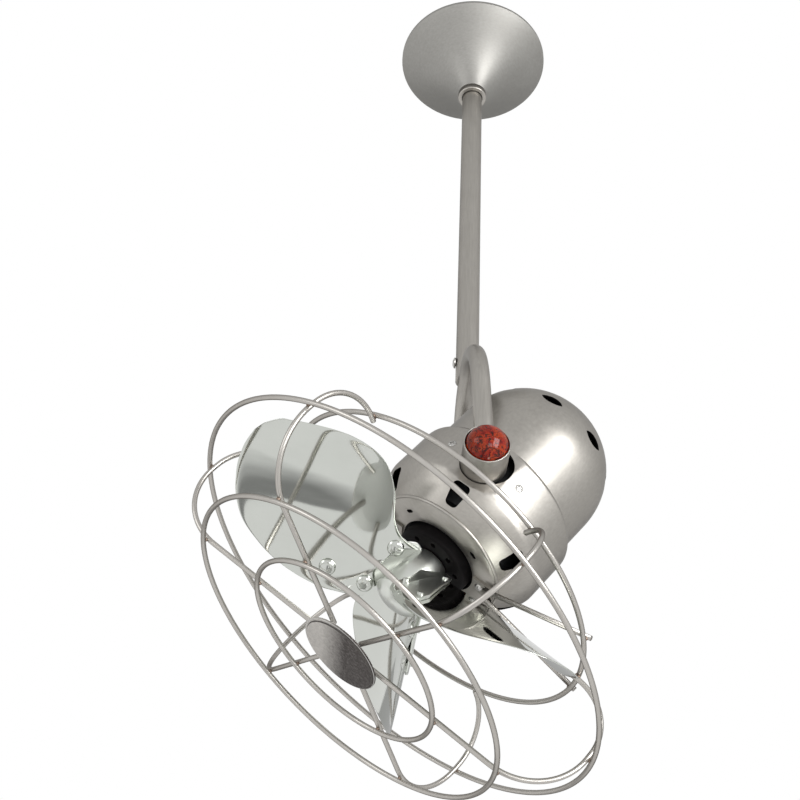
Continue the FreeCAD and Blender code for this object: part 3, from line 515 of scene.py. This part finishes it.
# badge: a dished back, and a field that stands above a narrow brim
badge = {"radius": 35.8, "thick": 6.0, "low": 167.85, "core": 10.0, "foot": 28.0, "edge": 2.8, "rim": 2.0,
         "step": 1.0, "slope": 0.9, "rounds": (2.0, 0.5, 0.6, 0.4, 0.4), "bright": 1.2}
field = badge["low"] + badge["thick"]
brim, wallFoot = field - badge["step"], badge["radius"] - badge["rim"]
wallTop = wallFoot - badge["slope"]
badgeBend = route([(badge["core"], badge["low"]), (badge["foot"], badge["low"]),
                   (badge["radius"], field - badge["edge"]), (badge["radius"], brim), (wallFoot, brim),
                   (wallTop, field), (badge["core"], field)], badge["rounds"], steps=6)
badgeGrid = lathe([(0, badge["low"]), *badgeBend, (0, field)], around=160)
piece = gridPiece("guard_badge_plate", [inHead(badgeGrid)], "head", "pewter", ("guard_badge",), sharp=60)
centre, out, facing = facePlaces(piece)
height = centre[:, 2]
paintFaces(piece, "greyCoat", facing[:, 2] < -lookAlong)
# painted shadow: the inner slope of the brim is dark fibre, for the shade in the groove
paintFaces(piece, "fibre", (out > wallTop) & (out < wallFoot) & (height > badge["low"] + badge["thick"] / 2))
onEdge = (out > badge["radius"] - badge["bright"]) & (height > brim - badge["bright"])
paintFaces(piece, "zinc", onEdge & (facing[:, 2] > lookAlong))
print("cage made")

# blades: a cambered section carried outwards, offset, turned and raised along the way
# point = (r, w cos p - h sin p, z + w sin p + h cos p), h = camber sag at w plus the height in the plate
blade = {"count": 3, "phase": 55.0, "root": 26.0, "tip": 177.0, "low": 72.0, "rise": 35.0, "width": 75.0,
         "thick": 1.2, "camber": 150.0, "rootPitch": 47.5, "tipPitch": 27.5, "power": 0.7,
         "shares": (-0.085, -0.06, -0.02, 0.03, 0.08, 0.15, 0.30, 0.50, 0.70, 0.84, 0.93, 0.98, 1.0),
         "lead": (0.67, 0.735, 0.765, 0.82, 0.875, 0.92, 0.975, 0.967, 0.86, 0.653, 0.427, 0.213, 0.067),
         "trail": (0.11, 0.12, 0.11, 0.10, 0.12, 0.20, 0.50, 0.76, 0.733, 0.533, 0.36, 0.227, 0.08),
         "stations": 160, "crowd": 1.6, "across": 70, "edgePower": 14}
arm = {"root": 9.0, "thick": 3.0, "seat": 0.3, "shares": (0.0, 0.05, 0.10, 0.15, 0.20),
       "lead": (14.0, 50.0, 56.0, 59.0, 60.0, 58.0), "trail": (9.0, 9.0, -4.0, -17.5, -31.0, -46.0),
       "stations": 60, "across": 40}


def bladePoint(share, w, height):
    share, w, height = np.broadcast_arrays(share, w, height)
    r = blade["root"] + (blade["tip"] - blade["root"]) * share
    twist = np.clip(share, 0, 1) ** blade["power"]
    pitch = np.radians(blade["rootPitch"] + (blade["tipPitch"] - blade["rootPitch"]) * twist)
    h = height + blade["camber"] - np.sqrt(blade["camber"] ** 2 - w ** 2)
    z = blade["low"] + blade["rise"] * share
    return np.stack([r, w * np.cos(pitch) - h * np.sin(pitch), z + w * np.sin(pitch) + h * np.cos(pitch)], -1)


def sheet(share, lead, trail, low, high, across):
    # closed band of points round the section at every station; the end rows have no thickness
    q = np.sin(np.linspace(-1, 1, across) * math.pi / 2)
    w = lead[:, None] * (1 + q) / 2 - trail[:, None] * (1 - q) / 2
    w = np.concatenate([w, w[:, ::-1]], 1)
    middle = (low + high) / 2
    swell = (high - low) / 2 * np.sqrt(np.clip(1 - np.abs(q) ** blade["edgePower"], 0, 1))
    height = np.concatenate([middle + swell, (middle - swell)[::-1]])[None] + 0 * w
    height[[0, -1]] = middle
    return bladePoint(share[:, None], w, height)


def eachBlade(points):
    # one grid for each place round the hub
    apart = 360 / blade["count"]
    return [inHead(spun(points, blade["phase"] + apart * number)) for number in range(blade["count"])]


foot = blade["shares"][0]
run = foot + (1 - foot) * (1 - (1 - np.linspace(0, 1, blade["stations"])) ** blade["crowd"])
run = np.concatenate([[foot], run, [1]])
lead, trail = (blade["width"] * curve(run, blade["shares"], blade[edge]) for edge in ("lead", "trail"))
bladeGrid = sheet(run, lead, trail, -blade["thick"] / 2, blade["thick"] / 2, blade["across"])
for number, grid in enumerate(eachBlade(bladeGrid), 1):
    node = "blade_%d" % number
    gridPiece(node + "_sheet", [grid], "rotor", "chrome", (node,), sharp=50)

armShares = [(arm["root"] - blade["root"]) / (blade["tip"] - blade["root"]), *arm["shares"]]
run = np.linspace(armShares[0], armShares[-1], arm["stations"])
run = np.concatenate([run[:1], run, run[-1:]])
lead, trail = (curve(run, armShares, arm[edge]) for edge in ("lead", "trail"))
armTop = -blade["thick"] / 2 - arm["seat"]
armGrid = sheet(run, lead, trail, armTop - arm["thick"], armTop, arm["across"])

# rivets: height of the head = thick/2 + height cos(t)^crown at radius head sin(t)
rivet = {"head": 7.2, "height": 4.0, "crown": 0.8, "shank": 2.5, "tail": 2.7, "tailHeight": 1.2, "grip": 3.9,
         "places": ((0.02, 3.0), (-0.035, 42.0), (0.16, 52.0)), "probe": 0.01}
seat, tailEnd = blade["thick"] / 2, -rivet["grip"] - rivet["tailHeight"]
rivetLine = [(rivet["head"] * math.sin(t), seat + rivet["height"] * math.cos(t) ** rivet["crown"])
             for t in np.linspace(0, math.pi / 2, 14)]
rivetLine += [(rivet["shank"], seat), (rivet["shank"], -rivet["grip"]), (rivet["tail"], -rivet["grip"]),
              (rivet["tail"], tailEnd), (0, tailEnd)]
rivetGrids = []
for share, w in rivet["places"]:
    middle = bladePoint(share, w, 0.0)
    along, up = bladePoint(share + rivet["probe"], w, 0.0) - middle, unit(bladePoint(share, w, 1.0) - middle)
    across = unit(np.cross(up, along))
    rivetGrids += eachBlade(middle + lathe(rivetLine, around=40) @ np.stack([np.cross(across, up), across, up]))
gridPiece("blade_rivet_heads", rivetGrids, "rotor", "chrome", ("blade_rivets",), sharp=50)

hub = {"rear": 59.4, "front": 104.0, "rearRadius": 16.5, "frontRadius": 18.5, "core": 8.0, "bore": 4.1,
       "rounds": (1.2, 0.8), "nose": 20.0, "noseHeight": 7.0, "noseShares": (0, 0.5, 0.98, 1.0)}
hubBend = route([(hub["core"], hub["rear"]), (hub["rearRadius"], hub["rear"]), (hub["frontRadius"], hub["front"]),
                 (hub["core"], hub["front"])], hub["rounds"], steps=6)
hubLine = [(hub["bore"], hub["rear"]), *hubBend, (hub["bore"], hub["front"])]
hubGrids = [inHead(lathe(hubLine, around=96)), *eachBlade(armGrid)]
gridPiece("blade_hub_casting", hubGrids, "rotor", "chromeCast", ("blade_hub",), sharp=50)
noseLine = [(hub["nose"] * share, hub["front"]) for share in hub["noseShares"]]
noseLine += cap(hub["nose"], hub["noseHeight"], hub["front"] + hub["noseHeight"], steps=24)
noseGrid = lathe(noseLine, around=96)
gridPiece("hub_nose_cap", [inHead(noseGrid)], "rotor", "chromeCast", ("hub_nose",), sharp=50)
print("rotor made")

# knobs and cups, turned about the tilt axis
cup = {"radius": 18.9, "wall": 1.3, "inner": 74.0, "rim": 103.2, "base": 4.0, "stud": 4.1, "core": 10.0,
       "rounds": (0.5, 0.55, 0.55, 0.5)}
knob = {"radius": 17.3, "inner": 80.0, "dome": 101.2, "end": 116.0, "stud": 4.1, "seat": 96.3, "chamfer": 0.5,
        "lip": 0.2}
bore, base = cup["radius"] - cup["wall"], cup["inner"] + cup["base"]
cupBend = route([(cup["core"], cup["inner"]), (cup["radius"], cup["inner"]), (cup["radius"], cup["rim"]),
                 (bore, cup["rim"]), (bore, base), (cup["core"], base)], cup["rounds"], steps=6)
cupLine = [(cup["stud"], cup["inner"]), *cupBend, (cup["stud"], base), (cup["stud"], cup["inner"])]
knobLine = [(0, knob["seat"]), (knob["stud"], knob["seat"]), (knob["stud"], knob["inner"]),
            (knob["radius"] - knob["chamfer"], knob["inner"]), (knob["radius"], knob["inner"] + knob["chamfer"]),
            (knob["radius"], knob["dome"] - knob["lip"])]
knobLine += cap(knob["radius"], knob["end"] - knob["dome"], knob["end"], steps=28)
for name, way in (("right", 1), ("left", -1)):
    cupGrid, knobGrid = (layX(lathe(line), way) * mm + pivot for line in (cupLine, knobLine))
    gridPiece(name + "_cup_turned", [cupGrid], "root", "nickelCast", (name + "_trunnion_cup",))
    gridPiece(name + "_knob_turned", [knobGrid], name + "_knob", "burl", (name + "_tilt_knob",))

# screw heads: low dome with a cross sunk into it, height = dome (1 - (r/R)^2)^power - depth cross(x, y)
bandScrew = {"radius": 3.5, "dome": 1.1, "spot": (78.55, 0, -3.2), "angles": (-25.7, 25.7, 154.3, 205.7),
             "cross": 0.5, "reach": 2.5, "depth": 1.0, "shank": 1.7, "length": 9.0}
faceScrew = {"radius": 3.6, "dome": 2.0, "spot": (44.0, 0, 51.5), "angles": (90.0, 270.0),
             "cross": 0.34, "reach": 2.2, "depth": 1.2, "shank": 2.0, "length": 10.0}
screwCut = {"power": 0.6, "wall": 0.12, "end": 0.3}        # wall and end are the widths of the cut's slopes


def screwHead(screw):
    radius, shank = screw["radius"], screw["shank"]
    r = np.concatenate([np.linspace(0, radius, 40), [radius, shank, shank, 0]])[:, None]
    turn = circle(96)[None]
    x, y = np.abs(r * np.cos(turn)), np.abs(r * np.sin(turn))
    bars = [np.minimum((screw["cross"] - a) / screwCut["wall"] + 1, (screw["reach"] - b) / screwCut["end"])
            for a, b in ((x, y), (y, x))]
    dome = screw["dome"] * np.clip(1 - (r / radius) ** 2, 0, 1) ** screwCut["power"]
    z = dome - screw["depth"] * np.clip(np.maximum(*bars), 0, 1)
    z[-4:-2], z[-2:] = 0, -screw["length"]
    return np.stack([r * np.cos(turn), r * np.sin(turn), z], -1)


for name, node, screw, grid in (("shell_screw_heads", "shell_screws", bandScrew, layX(screwHead(bandScrew), 1)),
                                ("tab_screw_heads", "guard_tab_screws", faceScrew, screwHead(faceScrew))):
    heads = [inHead(spun(grid + np.array(screw["spot"]), angle)) for angle in screw["angles"]]
    gridPiece(name, heads, "head", "zinc", (node,), sharp=50)
print("turned pieces made")

# castings and tubes keep the CAD form, smoothed
ownLook = {"canopy": "nickelSpun", "downrod": "nickelRod", "yoke": "nickelRod", "guard_struts": "nickelWire"}
for node in ("canopy", "canopy_collar", "downrod", "yoke", "guard_struts", "guard_tabs", "rotor_disc", "yoke_screw"):
    smoothCopy(node, ownLook.get(node, slotLook[slotOf[node]]))

# the pressed cone is a little full: ring cuts across it, then each point goes out by rise sin(pi share)
cone = {"low": 20.0, "high": 46.2, "lowRadius": 78.5, "highRadius": 60.4, "rise": 1.6, "cuts": 11, "depth": 4.0}


def fullCone(mesh):
    work = bmesh.new()
    work.from_mesh(mesh)
    bmesh.ops.remove_doubles(work, verts=work.verts, dist=mergeGap)
    for place in np.linspace(cone["low"], cone["high"], cone["cuts"] + 2)[1:-1]:
        whole = [*work.verts, *work.edges, *work.faces]
        bmesh.ops.bisect_plane(work, geom=whole, plane_co=inHead((0, 0, place)), plane_no=blow)
    work.to_mesh(mesh)
    work.free()
    held = np.empty(len(mesh.vertices) * 3)
    mesh.vertices.foreach_get("co", held)
    local = fromHead(held.reshape(-1, 3))
    out = np.hypot(local[:, 0], local[:, 1])
    tall, narrow = cone["high"] - cone["low"], cone["lowRadius"] - cone["highRadius"]
    share = np.clip((local[:, 2] - cone["low"]) / tall, 0, 1)
    outside = out > cone["lowRadius"] - narrow * share - cone["depth"]
    move = cone["rise"] * np.sin(math.pi * share) * outside
    outward, forward = unit((tall, narrow))
    local[:, :2] *= (1 + move * outward / np.maximum(out, 1))[:, None]
    local[:, 2] += move * forward
    mesh.vertices.foreach_set("co", inHead(local).ravel())


# painted shade: the shells are painted black inside and in the walls of the face's slots, where shade falls
shellShadePaint = {"middle": (0, 0, -20.0), "axisGap": 1.0, "slotLow": 48.2, "slotRadius": 46.0, "slotReach": 3.2}
for node, reshape in (("rear_shell", None), ("front_shell", fullCone)):
    piece = smoothCopy(node, "nickelCast", reshape)
    centre, out, facing = facePlaces(piece)
    inward = ((centre - np.array(shellShadePaint["middle"])) * facing).sum(1) < 0
    slotWall = (centre[:, 2] > shellShadePaint["slotLow"]) & (np.abs(facing[:, 2]) < lookAlong)
    slotWall &= np.abs(out - shellShadePaint["slotRadius"]) < shellShadePaint["slotReach"]
    # black paint as painted shade on the inner faces and the slot walls
    paintFaces(piece, "black", inward & (out > shellShadePaint["axisGap"]) | slotWall)
frontBead = {"radius": 59.5, "place": 47.4, "wire": 1.4}
beadLine = ringLine(frontBead["radius"], frontBead["place"])
grid = tube(beadLine, frontBead["wire"], (0, 0, 1), around=14, closed=True)
gridPiece("front_shell_bead", [inHead(grid)], "head", "nickelCast", wrapRows=True)
print("castings made")

# camera at the photograph's place, solved from the rings, canopy, knob and rod
shot = {"place": (0.97118, -0.08262, -1.33585), "right": (0.0608, 0.99717, 0.04425), "up": (0.64536, -0.07308, 0.76041),
        "forward": (-0.7615, 0.0177, 0.6480), "focal": 1418.4, "frame": 800, "sensor": 36.0}
lens = bpy.data.cameras.new("camera")
lens.sensor_width = shot["sensor"]
lens.lens = shot["focal"] / shot["frame"] * shot["sensor"]
camera = bpy.data.objects.new("camera", lens)
turn = Matrix((shot["right"], shot["up"], [-v for v in shot["forward"]])).transposed()
camera.matrix_world = Matrix.Translation(shot["place"]) @ turn.to_4x4()
bpy.context.scene.collection.objects.link(camera)
bpy.context.scene.camera = camera

# floor, cards that only show in the metal, soft lamps
floor = {"drop": -2.7, "size": (19.0, 19.0), "tones": (0.9016, 0.92), "rough": 0.9, "grain": {"scale": 3, "detail": 2}}
cardLook = {"cloud": {"scale": 3, "detail": 3, "stretch": (1, 9, 1)}, "spread": 0.03}
cards = {"floorCard": {"place": (0, 0, -2.65), "size": floor["size"], "aim": (0, 0, 0), "level": 1.0},
         "ceilingCard": {"place": (0, 0, 0.35), "size": (5.0, 5.0), "aim": (0, 0, 0), "level": 0.79},
         "sideCard": {"place": (-0.9, 2.3, -0.8), "size": (2.6, 2.2), "aim": (0, 0, -0.65), "level": 0.76},
         "backCard": {"place": (-2.2, 0.1, -0.6), "size": (3.4, 1.9), "aim": (0, 0.1, -0.6), "level": 0.45}}
strip = {"drop": -1.6, "level": 0.30, "farLevel": 1.0, "streak": 0.5,
         "fade": {"X": (-0.04, -0.38), "Y": (-0.30, -0.46)},
         "corners": ((0.60, -0.50), (0.60, -0.20), (0.24, -0.24), (-0.02, -0.19), (-0.11, -0.11), (-0.45, 0.05),
                     (-0.45, -0.50))}
lamps = {"keyLamp": {"place": (1.19, 1.09, -0.79), "aim": (0, 0.03, -0.64), "size": (0.78, 1.25), "power": 24},
         "fillLamp": {"place": (0.95, -1.4, -0.5), "aim": (0, 0, -0.62), "size": (0.7, 0.9), "power": 3.5},
         "shotLamp": {"place": (1.20, 0.30, -1.23), "aim": (0.05, 0, -0.66), "size": (0.45, 0.45), "power": 2.2},
         "topLamp": {"place": (-0.6, 0.5, 0.7), "aim": (0, 0, -0.5), "size": (1.0, 1.0), "power": 10}}
worldLight = 0.6


def square(place, size, aim):
    # corners of a plate that faces the aim point
    way = unit(np.subtract(aim, place))
    flat = unit(np.cross(way, (0, 0, 1) if abs(way[2]) < 0.9 else (0, 1, 0)))
    tall = np.cross(flat, way)
    return [np.array(place) + flat * a * size[0] / 2 + tall * b * size[1] / 2
            for a, b in ((-1, -1), (1, -1), (1, 1), (-1, 1))]


def flatCard(name, corners, shade):
    mesh = bpy.data.meshes.new(name)
    mesh.from_pydata([tuple(c) for c in corners], [], [tuple(range(len(corners)))])
    mesh.materials.append(shade.material)
    made = bpy.data.objects.new(name, mesh)
    bpy.context.scene.collection.objects.link(made)
    return made


def grey(level):
    return opaque((level, level, level))


def mirrorCard(name, corners, paint):
    # a tone that metal shows in place of the white backdrop, and nothing else sees
    shade = Shade(name + "Paint", Base_Color=grey(0), Roughness=1.0, Specular_IOR_Level=0.0, Emission_Strength=1.0)
    shade.feed({"Emission Color": paint(shade, shade.noise(**cardLook["cloud"]))})
    made = flatCard(name, corners, shade)
    made.visible_camera = made.visible_diffuse = made.visible_shadow = made.visible_transmission = False


def evenPaint(level):
    spread = cardLook["spread"]
    return lambda shade, cloud: shade.mix(cloud, grey(level * (1 - spread)), grey(level * (1 + spread)))


def stripPaint(shade, cloud):
    # blends into the floor's level along X and Y, with streaks
    amount = (cloud - 0.5) * strip["streak"]
    for axis, ends in strip["fade"].items():
        amount = amount + shade.ramp(axis, *ends)
    return shade.mix(amount, grey(strip["level"]), grey(strip["farLevel"]))


floorPaint = Shade("floorPaint", Roughness=floor["rough"])
floorTones = [grey(tone) for tone in floor["tones"]]
floorPaint.feed({"Base Color": floorPaint.mix(floorPaint.noise(**floor["grain"]), *floorTones)})
flatCard("floor", square((0, 0, floor["drop"]), floor["size"], (0, 0, 0)), floorPaint)
for name, card in cards.items():
    mirrorCard(name, square(card["place"], card["size"], card["aim"]), evenPaint(card["level"]))
mirrorCard("stripCard", [(x, y, strip["drop"]) for x, y in strip["corners"]], stripPaint)

for name, lamp in lamps.items():
    data = bpy.data.lights.new(name, "AREA")
    data.shape, data.energy = "RECTANGLE", lamp["power"]
    data.size, data.size_y = lamp["size"]
    made = bpy.data.objects.new(name, data)
    way = unit(np.subtract(lamp["aim"], lamp["place"]))
    flat = unit(np.cross(way, (0, 0, 1)))
    turn = Matrix((flat, np.cross(flat, way), -way)).transposed()
    made.matrix_world = Matrix.Translation(lamp["place"]) @ turn.to_4x4()
    made.visible_camera = False
    bpy.context.scene.collection.objects.link(made)

# camera, glossy and transmission rays see white, the rest a dimmer level
world = bpy.data.worlds.new("studio")
bpy.context.scene.world = world
backdrop = NodeSheet(world)
cameraRay, shinyRay, clearRay = (backdrop.node("ShaderNodeLightPath", out="Is %s Ray" % kind)
                                 for kind in ("Camera", "Glossy", "Transmission"))
dim, white = (backdrop.node("ShaderNodeBackground", inputs={"Color": grey(1), "Strength": strength})
              for strength in (worldLight, 1.0))
pick = backdrop.node("ShaderNodeMixShader", inputs={0: cameraRay + shinyRay + clearRay, 1: dim, 2: white})
backdrop.node("ShaderNodeOutputWorld", inputs={"Surface": pick})
bpy.context.scene.view_settings.view_transform = "Standard"
print("studio made")
